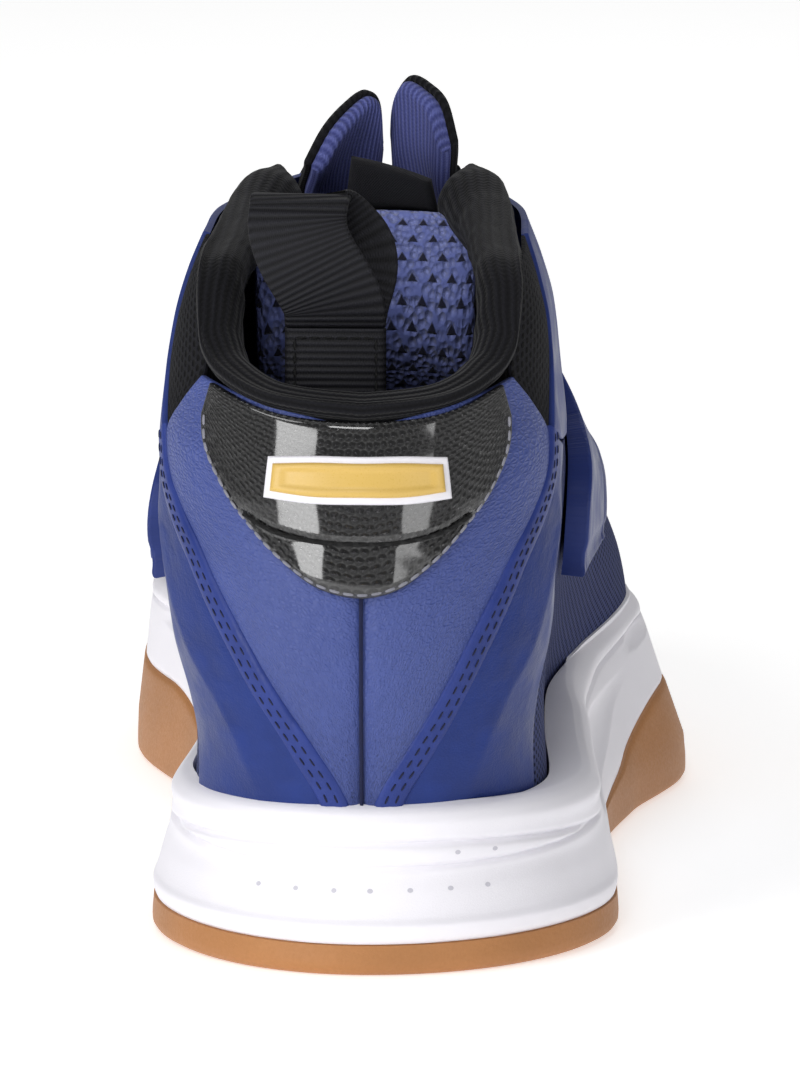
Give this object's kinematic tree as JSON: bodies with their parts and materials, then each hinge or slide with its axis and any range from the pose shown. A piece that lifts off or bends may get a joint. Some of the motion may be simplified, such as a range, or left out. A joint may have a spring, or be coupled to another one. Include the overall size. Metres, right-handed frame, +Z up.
{
  "type": "basketball high top",
  "caption": "Right high-top basketball shoe with a padded knit collar, heel pull loop, instep strap, laces, foam midsole and wrapped gum rubber sole.",
  "frame": {"origin": "on the ground under the middle of the sole's length, on the line through the centre of the heel", "axes": "+X to the lateral side, +Y from heel to toe, +Z up"},
  "size_m": [0.1109, 0.301, 0.1489],
  "materials": {
    "gum_rubber": "matte gum rubber",
    "midsole_foam": "moulded white foam",
    "shank_plate": "thin moulded strip",
    "board": "stiffened fibre board",
    "sockliner_fabric": "brushed textile over foam",
    "heel_leather": "pebbled blue leather",
    "side_synthetic": "smooth blue synthetic leather",
    "blue_mesh": "fine engineered mesh",
    "eyestay_synthetic": "smooth blue synthetic",
    "black_mesh": "black spacer mesh",
    "knit": "black ribbed knit",
    "lining_knit": "blue ribbed lining",
    "tongue_mesh": "blue spacer mesh",
    "foam": "open-cell foam",
    "gloss_skin": "glossy embossed black film",
    "strap_synthetic": "smooth blue synthetic",
    "hook_loop": "hook and loop tape",
    "webbing": "black grosgrain webbing",
    "lace": "black woven flat lace"
  },
  "bodies": {
    "shoe": {"outsole": "gum_rubber", "midsole": "midsole_foam", "strobel_board": "board", "heel_panel_lateral": "heel_leather", "heel_panel_medial": "heel_leather", "side_panel_lateral": "side_synthetic", "side_panel_medial": "side_synthetic", "quarter_mesh_lateral": "blue_mesh", "quarter_mesh_medial": "blue_mesh", "eyestay_lateral": "eyestay_synthetic", "eyestay_medial": "eyestay_synthetic", "ankle_mesh_lateral": "black_mesh", "ankle_mesh_medial": "black_mesh", "vamp_mesh": "blue_mesh", "toe_cap": "eyestay_synthetic", "toe_puff": "board", "heel_counter": "board", "heel_lining": "knit", "quarter_lining_lateral": "knit", "quarter_lining_medial": "knit", "vamp_lining": "knit", "collar_roll": "knit", "heel_patch": "gloss_skin", "heel_badge": "gloss_skin", "collar_tip_lateral": "lining_knit", "collar_tip_medial": "lining_knit", "eyelet_strip_lateral": "shank_plate", "eyelet_strip_medial": "shank_plate", "strap_base": "strap_synthetic", "strap_loop_pad": "hook_loop", "strap_anchor": "strap_synthetic", "pull_loop_stem": "webbing", "lace_cross_1": "lace", "lace_cross_2": "lace", "lace_cross_3": "lace", "lace_cross_4": "lace", "lace_cross_5": "lace"},
    "flap": {"strap_flap": "strap_synthetic", "strap_hook_pad": "hook_loop"},
    "tongue": {"tongue_face": "black_mesh", "tongue_foam": "foam", "tongue_lining": "tongue_mesh", "tongue_top_band": "webbing"},
    "pull_loop": {"pull_loop": "webbing"},
    "sockliner": {"sockliner": "sockliner_fabric"}
  },
  "joints": [
    {"name": "strap_hinge", "type": "hinge", "parent": "shoe", "child": "flap", "pos_m": [0.0186, 0.0044, 0.1026], "axis": [0.0261, -0.8409, 0.5406], "range_deg": [0, 95]},
    {"name": "tongue_hinge", "type": "hinge", "parent": "shoe", "child": "tongue", "pos_m": [-0.002, 0.056, 0.072], "axis": [1, 0, 0], "range_deg": [0, 8], "stiffness_Nm_per_rad": 0.5},
    {"name": "pull_loop_hinge", "type": "hinge", "parent": "shoe", "child": "pull_loop", "pos_m": [-0.0055, -0.126, 0.116], "axis": [1, 0, 0], "range_deg": [-60, 30], "stiffness_Nm_per_rad": 0.02},
    {"name": "sockliner_lift", "type": "hinge", "parent": "shoe", "child": "sockliner", "pos_m": [-0.01, 0.134, 0.0275], "axis": [-1, 0, 0], "range_deg": [0, 5]}
  ]
}
